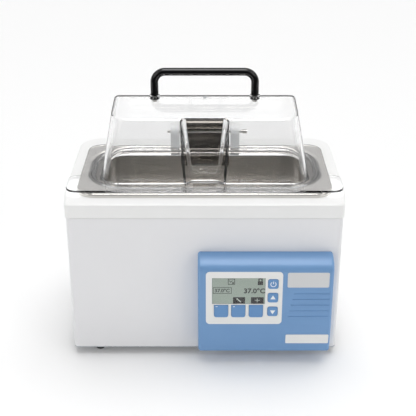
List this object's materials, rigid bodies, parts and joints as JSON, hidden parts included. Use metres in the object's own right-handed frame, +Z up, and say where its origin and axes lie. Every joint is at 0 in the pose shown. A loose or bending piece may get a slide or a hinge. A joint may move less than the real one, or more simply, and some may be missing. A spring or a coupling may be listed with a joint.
{
  "type": "laboratory water bath",
  "caption": "Bench-top water bath with a heated steel tank, a clear hinged gable lid with a bar handle, and a front control unit with display and press keys.",
  "frame": {"origin": "on the bench below the middle of the overall outline", "axes": "+Z up, +X to the right seen from the front, the control unit faces -Y"},
  "size_m": [0.354, 0.2553, 0.3589],
  "materials": {
    "white_cover": "satin",
    "painted_steel": "satin powder coat",
    "zinc_steel": "zinc plated",
    "stainless": "brushed",
    "bracket_stainless": "polished",
    "foam": "matte",
    "insulation": "fibrous",
    "heater_silicone": "matte",
    "clamp_aluminium": "mill",
    "black_phenolic": "matte",
    "probe_steel": "satin",
    "blue_abs": "fine texture",
    "key_blue": "satin",
    "bezel_white": "satin",
    "badge_silver": "satin",
    "display_glass": "clear",
    "display_green": "matte",
    "board_green": "solder mask",
    "clear_polycarbonate": "clear",
    "handle_black": "satin",
    "screw_steel": "plated",
    "grey_moulding": "matte",
    "foot_rubber": "matte"
  },
  "bodies": {
    "bath": {"badge_plate": "badge_silver", "base_plate": "zinc_steel", "board_pillars": "zinc_steel", "case_screws": "screw_steel", "clamp_pillars": "zinc_steel", "control_board": "board_green", "control_housing": "blue_abs", "cutout_thermostat": "black_phenolic", "display_module": "display_green", "display_window": "display_glass", "foot_front_left": "foot_rubber", "foot_front_right": "foot_rubber", "foot_rear_left": "foot_rubber", "foot_rear_right": "foot_rubber", "foot_screws": "screw_steel", "heater_clamp": "clamp_aluminium", "heater_mat": "heater_silicone", "hinge_bracket": "bracket_stainless", "inlet_pins": "screw_steel", "inlet_screws": "screw_steel", "insulation_jacket": "insulation", "keypad_bezel": "bezel_white", "mains_inlet": "black_phenolic", "name_plate": "bezel_white", "outer_case": "painted_steel", "power_board": "board_green", "push_switches": "black_phenolic", "rim_gasket": "foam", "tank": "stainless", "temperature_probe": "probe_steel", "top_cover": "white_cover", "transformer": "black_phenolic", "unit_screws": "screw_steel"},
    "lid": {"lid": "clear_polycarbonate", "lid_handle": "handle_black", "handle_washers": "screw_steel", "handle_screws": "screw_steel", "hinge_lug_left": "grey_moulding", "hinge_lug_right": "grey_moulding", "hinge_rod": "bracket_stainless"},
    "soft_key_left": {"soft_key_left": "key_blue"},
    "soft_key_middle": {"soft_key_middle": "key_blue"},
    "soft_key_right": {"soft_key_right": "key_blue"},
    "power_key": {"power_key": "key_blue"},
    "up_key": {"up_key": "key_blue"},
    "down_key": {"down_key": "key_blue"}
  },
  "joints": [
    {"name": "lid_hinge", "type": "hinge", "parent": "bath", "child": "lid", "pos_m": [0, 0.081, 0.2455], "axis": [-1, 0, 0], "range_deg": [0, 95]},
    {"name": "soft_key_left_press", "type": "slide", "parent": "bath", "child": "soft_key_left", "axis": [0, 1, 0], "range_m": [0, 0.0008], "stiffness_N_per_m": 1500},
    {"name": "soft_key_middle_press", "type": "slide", "parent": "bath", "child": "soft_key_middle", "axis": [0, 1, 0], "range_m": [0, 0.0008], "stiffness_N_per_m": 1500},
    {"name": "soft_key_right_press", "type": "slide", "parent": "bath", "child": "soft_key_right", "axis": [0, 1, 0], "range_m": [0, 0.0008], "stiffness_N_per_m": 1500},
    {"name": "power_key_press", "type": "slide", "parent": "bath", "child": "power_key", "axis": [0, 1, 0], "range_m": [0, 0.0008], "stiffness_N_per_m": 1500},
    {"name": "up_key_press", "type": "slide", "parent": "bath", "child": "up_key", "axis": [0, 1, 0], "range_m": [0, 0.0008], "stiffness_N_per_m": 1500},
    {"name": "down_key_press", "type": "slide", "parent": "bath", "child": "down_key", "axis": [0, 1, 0], "range_m": [0, 0.0008], "stiffness_N_per_m": 1500}
  ]
}
